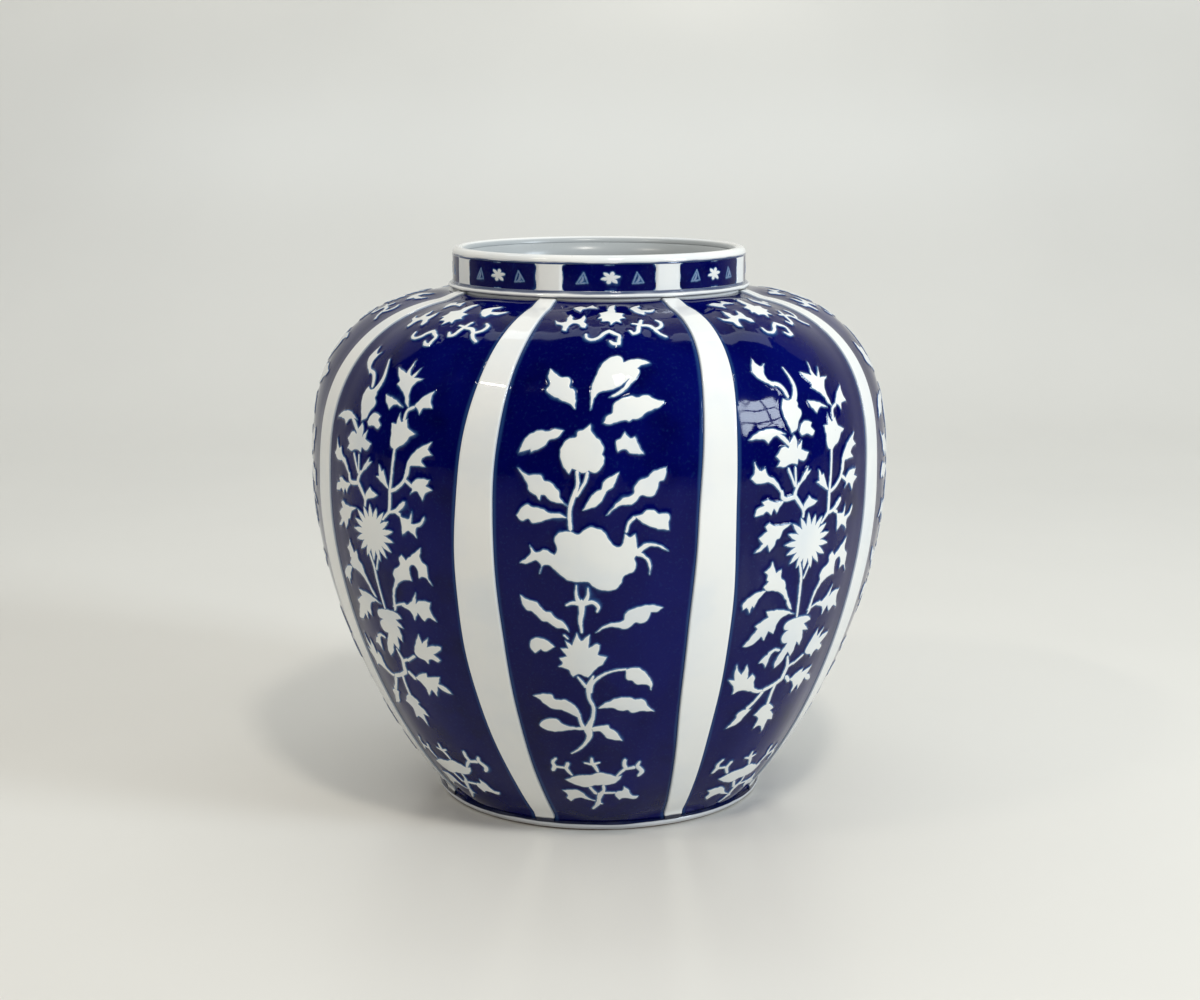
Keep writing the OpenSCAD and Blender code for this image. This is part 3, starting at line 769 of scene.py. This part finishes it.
def buildPanel(number, plan):
    middle = (number - 1) * lobePitch
    loops = drawnLoops(plan["tree"], plan["main"])
    loops += drawnLoops(shoulderSpray, plan["shoulder"]) + drawnLoops(footSpray, plan["foot"])
    spreadLeft, spreadRight = plan["spread"]
    for loop in loops:
        u = loop[:, 0]
        loop[:, 0] = u + np.where(u > 0, spreadRight, -spreadLeft) * easeIn(np.abs(u) / 34)
        left, right = panelEdges(number, loop[:, 1])
        loop[:, 0] = np.clip(loop[:, 0], left + panel["margin"], right - panel["margin"])
    v = np.linspace(0, vEnd, 210)
    left, right = panelEdges(number, v)
    across = np.linspace(0, 1, 26)[1:-1]
    rim = np.concatenate([
        np.stack([left[0] + (right[0] - left[0]) * across, np.zeros_like(across)], -1),
        np.stack([right, v], -1),
        np.stack([right[-1] + (left[-1] - right[-1]) * across, np.full_like(across, vEnd)], -1),
        np.stack([left, v], -1)[::-1]])
    loose = []
    for row, level in enumerate(np.arange(1.2, vEnd - 0.8, panel["net"])):
        low, high = panelEdges(number, level)
        start = low + 3.4 + (row % 2) * panel["net"] / 2
        loose += [(u, level) for u in np.arange(start, high - 3.0, panel["net"])]
        for inset in (0.8, 1.7, 2.6):
            loose += [(low + inset, level), (high - inset, level)]
    for loop in loops:
        for away in (-0.35, 0.35, 0.75, -0.75, 1.3, -1.3):
            loose += ringLeft(loop, away).tolist()
    loose = np.array(loose)
    u, v = loose.T
    low, high = panelEdges(number, v)
    keep = (u > low + 0.5) & (u < high - 0.5) & (v > 0.5) & (v < vEnd - 0.5)
    coarse = []
    for level in np.arange(5.0, vEnd - 4, panel["coarseNet"]):
        low, high = panelEdges(number, level)
        coarse += [(u, level) for u in np.linspace(low + 4, high - 4, 8)]

    def whiteOf(spots):
        inside = np.zeros(len(spots), bool)
        for loop in loops:
            lo, hi = loop.min(0), loop.max(0)
            near = np.nonzero(((spots >= lo) & (spots <= hi)).all(1))[0]
            inside[near] |= liesWithin(spots[near], loop)
        return inside

    def edgeOf(spots):
        low, high = panelEdges(number, spots[:, 1])
        return np.minimum(spots[:, 0] - low, high - spots[:, 0])

    def frontOf(spots, lift):
        # the ground dips away from the bands, as glaze that was pressed between them
        dip = (panel["ground"] - panel["edgeDepth"]) * easeIn(edgeOf(spots) / panel["dish"])
        return onJar(*spots.T, middle, 0, panel["edgeDepth"] + dip - lift)

    def backOf(spots):
        return onJar(*spots.T, middle, 0, jar["bandThickness"] - jar["overlap"], False)

    points, faces, paint, spots = closedPlate(
        rim, loops, loose[keep], coarse, frontOf, backOf, whiteOf, panel)
    fields = {"paint": paint, "edge": edgeOf(spots)}
    return makePiece(f"cobaltPanel{number}", points, faces, panelPaint,
                     [f"cobalt_panel_{number}"], fields)


for number, plan in enumerate(panelPlans, 1):
    made = buildPanel(number, plan)
    print(made.name, len(made.data.polygons), "faces")

# the eight white bands
band = {
    "rows": 150, "edgeRound": 0.8, "edgeDrop": 0.72,
    "steps": (0.2, 0.4, 0.6, 0.8, 0.89, 0.935, 0.965, 0.985, 1),  # from the middle line to an edge
}


def buildBand(number):
    place = ((number - 0.5) * lobePitch, lobePitch / 2)  # of its middle line: turn, and angle from a crown
    steps = np.array(band["steps"])
    across = np.concatenate([-steps[::-1], [0], steps])
    v = np.linspace(0, vEnd, band["rows"])
    radius, height = along(v, rLine), along(v, zLine)
    half = bandHalfAt(height)
    low = np.radians(-half + brushWobble(number, 0, v)) * radius
    high = np.radians(half + brushWobble(number, 1, v)) * radius
    rows, edge, rise = [], [], []
    for k in range(band["rows"]):
        u = (low[k] + high[k]) / 2 + (high[k] - low[k]) / 2 * across
        inset = np.minimum(u - low[k], high[k] - u)
        bend = np.clip(1 - inset / band["edgeRound"], 0, 1)
        drop = band["edgeDrop"] * (1 - np.sqrt(1 - bend ** 2))
        top = onJar(u, v[k], *place, drop)
        under = onJar(u[::-1], v[k], *place, jar["bandThickness"] - jar["overlap"], False)
        rows.append(np.concatenate([top, under]))
        edge.append(np.concatenate([inset, np.full(len(u), 5.0)]))
        rise.append(np.full(2 * len(u), v[k]))
    count = 2 * len(across)
    faces = turnedFaces(band["rows"], count, False)
    last = (band["rows"] - 1) * count
    for c in range(len(across) - 1):
        d = count - 1 - c
        faces.append([c + 1, c, d, d - 1])
        faces.append([last + c, last + c + 1, last + d - 1, last + d])
    return makePiece(f"whiteBand{number}", np.concatenate(rows), faces, bandWhite,
                     [f"white_band_{number}"], {"edge": np.concatenate(edge), "rise": np.concatenate(rise)})


for number in range(1, jar["lobes"] + 1):
    buildBand(number)
print("bands ready")

# the collar with its plaques
collar = {
    "plaqueHalf": 17.5, "plaqueLow": 225.2, "plaqueHigh": 235.8, "plaqueDepth": 0.6, "gap": 0.06,
    "turn": float(bowAt(jar["shoulderHeight"])), "low": 215.5, "lipHeight": 2.7, "flare": 1.4,
    "beadReach": 1.8, "beadRise": 1.05, "relief": 0.12, "slopeOut": 0.2, "slopeIn": 0.3, "net": 1.1,
}


def buildCollarWall():
    # a sleeve with eight shallow recesses that the plaques fill
    half, turnBy = collar["plaqueHalf"], collar["turn"]
    turns = []
    past = half + collar["gap"]
    for middle in turnBy + lobePitch * np.arange(jar["lobes"]):
        turns += list(np.linspace(middle - half, middle + half, 20))
        turns += list(np.linspace(middle + past, middle + lobePitch - past, 8))
    turns = np.radians(np.array(turns))
    offs = np.abs((np.degrees(turns) - turnBy + lobePitch / 2) % lobePitch - lobePitch / 2)
    low, high, top = collar["plaqueLow"], collar["plaqueHigh"], jar["lipHeight"]
    rows = []
    for z in (collar["low"], 218, 221, 224, low - collar["gap"], low, 230, high, high + collar["gap"], top):
        recess = (offs <= half + 0.01) & (low <= z <= high)
        rows.append(atTurn(jar["collarRadius"] - np.where(recess, collar["plaqueDepth"], 0), turns, z))
    for z in (top, 230, 224, 218.5, 216.6, 215.9, collar["low"]):
        flare = collar["flare"] * max(0, 1 - (z - collar["low"]) / 1.5) ** 2
        rows.append(atTurn(jar["mouthRadius"] + flare, turns, z))
    faces = turnedFaces(len(rows), len(turns))
    makePiece("collarWall", np.concatenate(rows), faces, collarWhite, ["neck_collar"])


def plaqueLoops(number):
    # the cobalt field, then in white a flower and, at each side, an outlined leaf with a stroke inside
    wide = np.radians(collar["plaqueHalf"]) * jar["collarRadius"]
    low, high = collar["plaqueLow"], collar["plaqueHigh"]
    wave = 0.12 * math.sin(2.3 * number)
    field = smoothLine([
        (-wide + 0.2, low + 0.5), (-wide + 0.6, low + 0.08), (0, low + 0.06), (wide - 0.7, low + 0.08),
        (wide - 0.2, low + 0.5), (wide - 0.3 + wave, (low + high) / 2), (wide - 0.15, high - 0.6),
        (wide - 0.6, high - 0.08), (0, high - 0.06), (-wide + 0.8, high - 0.08), (-wide + 0.2, high - 0.5),
        (-wide + 0.3 + wave, (low + high) / 2)], True)
    middle = np.array([0.4 * math.sin(1.7 * number), 230.5])
    flower = petalRing((0, 0), 6, 1.4, 3.6, 0.3 + number, 0.6) * np.array([1.08, 0.8]) + middle
    marks = [flower]
    for side in (-1, 1):
        x = middle[0] + side * (11.2 + 0.4 * math.cos(number))
        corners = [(x - 2.3, 228.2), (x + 2.2, 228.5), (x - 0.6 * side, 232.6)]
        for k in range(3):
            (au, av), (bu, bv) = corners[k], corners[(k + 1) % 3]
            marks.append(strokeOutline([(au, av, 0.3), ((au + bu) / 2, (av + bv) / 2, 0.45), (bu, bv, 0.3)]))
        marks.append(strokeOutline([(x - 0.9, 228.6, 0.5), (x, 229.5, 0.9), (x + 0.3, 231, 0.4)]))
    return field, marks


def buildPlaque(number):
    wide = np.radians(collar["plaqueHalf"]) * jar["collarRadius"]
    low, high = collar["plaqueLow"], collar["plaqueHigh"]
    field, marks = plaqueLoops(number)
    across, rise = np.linspace(-wide, wide, 54), np.linspace(low, high, 16)[1:-1]
    rim = [(u, low) for u in across] + [(wide, z) for z in rise]
    rim += [(u, high) for u in across[::-1]] + [(-wide, z) for z in rise[::-1]]
    loops = [field] + marks
    columns = np.arange(-wide + 0.9, wide - 0.5, collar["net"])
    loose = [(u, z) for u in columns for z in np.arange(low + 0.7, high - 0.4, collar["net"])]
    for loop in loops:
        for away in (-0.3, 0.3):
            loose += ringLeft(loop, away).tolist()
    loose = np.array(loose)
    keep = (np.abs(loose[:, 0]) < wide - 0.15) & (loose[:, 1] > low + 0.12) & (loose[:, 1] < high - 0.12)

    def onCollar(p, depth):
        reach = jar["collarRadius"] - depth
        turn = np.radians((number - 1) * lobePitch + collar["turn"]) + p[:, 0] / jar["collarRadius"]
        return atTurn(reach, turn, p[:, 1])

    def whiteOf(spots):
        inside = ~liesWithin(spots, field)
        for loop in marks:
            inside |= liesWithin(spots, loop)
        return inside

    points, faces, paint, spots = closedPlate(
        rim, loops, loose[keep], [(u, (low + high) / 2) for u in np.linspace(-wide + 1, wide - 1, 20)],
        lambda p, lift: onCollar(p, collar["relief"] - lift),
        lambda p: onCollar(p, collar["plaqueDepth"] - 0.01), whiteOf, collar)
    aside = np.abs(spots[:, 0])
    faint = easeIn((aside - 5.5) / 1.5) * easeIn((15 - aside) / 1.2) * 0.8
    fields = {"paint": paint, "edge": np.full(len(spots), 9.0), "faint": faint}
    return makePiece(f"collarPlaque{number}", points, faces, plaquePaint,
                     [f"collar_plaque_{number}"], fields)


buildCollarWall()
for number in range(1, jar["lobes"] + 1):
    buildPlaque(number)


def arcOutline(middle, reach, start, end, count):
    # (radius, height) points on an arc, from one angle to another
    turns = np.radians(np.linspace(start, end, count))
    return [(middle[0] + reach[0] * math.cos(a), middle[1] + reach[1] * math.sin(a)) for a in turns]


lipMiddle = (jar["mouthRadius"] + jar["collarRadius"]) / 2
lipReach = (jar["collarRadius"] - jar["mouthRadius"]) / 2 - 0.02
lipOutline = arcOutline((lipMiddle, jar["lipHeight"]), (lipReach, collar["lipHeight"]), 0, 180, 25)
turnedPiece("rimLip", lipOutline, lipWhite, ["rim_lip"])
beadLow, beadRise, beadIn = jar["shoulderHeight"], collar["beadRise"], jar["collarRadius"] - 0.2
beadArc = arcOutline((jar["collarRadius"], beadLow + beadRise), (collar["beadReach"], beadRise), -75, 85, 17)
beadOutline = [(beadIn, beadLow)] + beadArc + [(beadIn, beadLow + 2 * beadRise)]
turnedPiece("collarBead", beadOutline, beadWhite, ["collar_bead"])
print("collar ready")

# the foot ring, and the wall inside the jar
foot = {"width": 8.0, "bevel": 2.0, "edgeRound": 0.3}
wallIn = {"ripple": 0.16, "ripplePitch": 11.0, "seamSwell": 0.5}


def depthPoint(s, depth):
    v = float(np.interp(s, sLine, vLine))
    down = along(v, valleyLine) + depth
    return float(along(v, rLine) - along(v, outR) * down), float(along(v, zLine) - along(v, outZ) * down)


seat = depthPoint(-1, jar["bandThickness"] + jar["wall"])
ledge = depthPoint(-1, jar["bandThickness"])
ringIn, ringOut = jar["footRadius"] - foot["width"], jar["footRadius"]
bare, soft = ringOut - foot["bevel"], foot["edgeRound"]
turnedPiece("footRing", [
    (ringIn, soft), (ringIn + 0.3 * soft, 0.3 * soft), (ringIn + soft, 0.0), (bare - soft, 0.0),
    (bare, 0.25 * soft), (bare + 0.7 * soft, 0.7 * soft), (ringOut - 0.8 * soft, foot["bevel"] - 0.8 * soft),
    (ringOut - 0.1 * soft, foot["bevel"] + 0.3 * soft), (ringOut, foot["bevel"] + soft),
    (ringOut - 0.1 * soft, jar["footHeight"] - soft), (ringOut - soft, jar["footHeight"] - 0.1 * soft),
    ledge, seat, (ringIn, seat[1])], footGlaze, ["foot_ring"])


def buildWall(name, span, node):
    # one thrown section, with soft finger ridges on its inside and a swelling where the two are joined
    stations = np.linspace(span[0], span[1], 60)
    seamAt = float(np.interp(0, sLine, vLine))
    outer = [depthPoint(s, jar["bandThickness"]) for s in stations]
    inner = []
    for s in stations[::-1]:
        v = float(np.interp(s, sLine, vLine))
        fade = float(easeIn((1 - abs(s)) * 8))
        ridge = wallIn["ripple"] * math.sin(2 * math.pi * v / wallIn["ripplePitch"]) * fade
        seam = wallIn["seamSwell"] * math.exp(-((v - seamAt) / 2.4) ** 2)
        inner.append(depthPoint(s, jar["bandThickness"] + jar["wall"] + ridge + seam))
    turnedPiece(name, outer + inner, insideShadedGlaze, [node], 160)


buildWall("lowerWall", (-1, 0), "lower_body")
buildWall("upperWall", (0, 1), "upper_body")
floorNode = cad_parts["base_floor"]
floorNode.data.materials.clear()
floorNode.data.materials.append(insideShadedGlaze)
print("foot and wall ready")

# the studio: paper, world and lamps
studio = {
    "paper": (0.74, 0.72, 0.67), "worldTint": (0.965, 0.965, 0.955), "worldStrength": 0.60,
    "jarMiddle": (0, 0, 0.14), "wallMiddle": (0, 1.4, 0.35),
    "lamps": {
        "overheadLamp": {"power": 5.8, "size": (0.13, 0.20), "at": (0.22, -0.76, 1.32),
                         "tint": (1.0, 0.95, 0.86)},
        "leftLamp": {"power": 2.4, "size": (0.26, 0.022), "at": (-0.85, -0.62, 1.25),
                     "tint": (1.0, 0.94, 0.84)},
        "wallLamp": {"power": 6.5, "size": (1.8, 0.5), "at": (0, 0.55, 1.5), "tint": (0.80, 0.91, 1.0)},
    },
    "window": {"power": 2.45, "size": (0.14, 0.16), "at": (1.35, -0.70, 0.73), "tint": (0.80, 0.905, 1.0),
               "gap": 0.025, "columns": 2, "rows": 3},
}


def buildSweep():
    # a pale table top that curves up into a wall
    bend = np.radians(np.linspace(8, 90, 14))
    profile = [(-2.5, 0.0), (0.9, 0.0)] + [(0.9 + 0.5 * math.sin(a), 0.5 - 0.5 * math.cos(a)) for a in bend]
    profile += [(1.4, 3.0)]
    points = [(x, y, z) for y, z in profile for x in (-3.0, 3.0)]
    mesh = bpy.data.meshes.new("studioSweep")
    mesh.from_pydata(points, [], [[2 * k, 2 * k + 1, 2 * k + 3, 2 * k + 2] for k in range(len(profile) - 1)])
    mesh.polygons.foreach_set("use_smooth", [True] * len(mesh.polygons))
    material, tree, where = startGlaze("sweepPaint")
    drift = stepped(tree, cloud(tree, where, 1.6, 4.0), 0.35, 0.75)
    tint = mixColours(tree, drift, studio["paper"], tuple(0.93 * c for c in studio["paper"]))
    skin = addNode(tree, "ShaderNodeBsdfPrincipled",
                   {"Base Color": tint, "Roughness": 0.3, "Specular IOR Level": 0.35})
    tree.links.new(skin.outputs[0], addNode(tree, "ShaderNodeOutputMaterial").inputs[0])
    mesh.materials.append(material)
    sweep = bpy.data.objects.new("studioSweep", mesh)
    bpy.context.scene.collection.objects.link(sweep)


def addLight(name, plan):
    data = bpy.data.lights.new(name, "AREA")
    data.shape = "RECTANGLE"
    data.size, data.size_y = plan["size"]
    data.energy = plan["power"]
    data.color = plan["tint"]
    light = bpy.data.objects.new(name, data)
    light.location = plan["at"]
    target = studio["wallMiddle" if name == "wallLamp" else "jarMiddle"]
    light.rotation_euler = (Vector(target) - Vector(plan["at"])).to_track_quat("-Z", "Y").to_euler()
    bpy.context.scene.collection.objects.link(light)


def addWindow(plan):
    # the window at the right, pane by pane
    facing = Vector(studio["jarMiddle"]) - Vector(plan["at"])
    sideways = facing.cross(Vector((0, 0, 1))).normalized()
    upwards = sideways.cross(facing).normalized()
    for column in range(plan["columns"]):
        for row in range(plan["rows"]):
            right = (column - (plan["columns"] - 1) / 2) * (plan["size"][0] + plan["gap"])
            up = (row - (plan["rows"] - 1) / 2) * (plan["size"][1] + plan["gap"])
            pane = dict(plan, at=Vector(plan["at"]) + sideways * right + upwards * up)
            addLight(f"windowPane{column}{row}", pane)


buildSweep()
for name, plan in studio["lamps"].items():
    addLight(name, plan)
addWindow(studio["window"])
world = bpy.data.worlds.new("studioWorld")
world.use_nodes = True
background = world.node_tree.nodes["Background"]
background.inputs[0].default_value = colour(studio["worldTint"])
background.inputs[1].default_value = studio["worldStrength"]
world.cycles_visibility.glossy = False
bpy.context.scene.world = world
bpy.context.scene.view_settings.view_transform = "Standard"

view = {"lens": 60.93, "sensor": 36, "at": (0.00043, -0.880, 0.2993), "down": 11.05}  # down is in degrees
cameraData = bpy.data.cameras.new("jarCamera")
cameraData.sensor_width = view["sensor"]
cameraData.sensor_fit = "HORIZONTAL"
cameraData.lens = view["lens"]
cameraData.clip_end = 50
camera = bpy.data.objects.new("jarCamera", cameraData)
camera.location = view["at"]
camera.rotation_euler = (math.radians(90 - view["down"]), 0, 0)
bpy.context.scene.collection.objects.link(camera)
bpy.context.scene.camera = camera
print("studio ready")
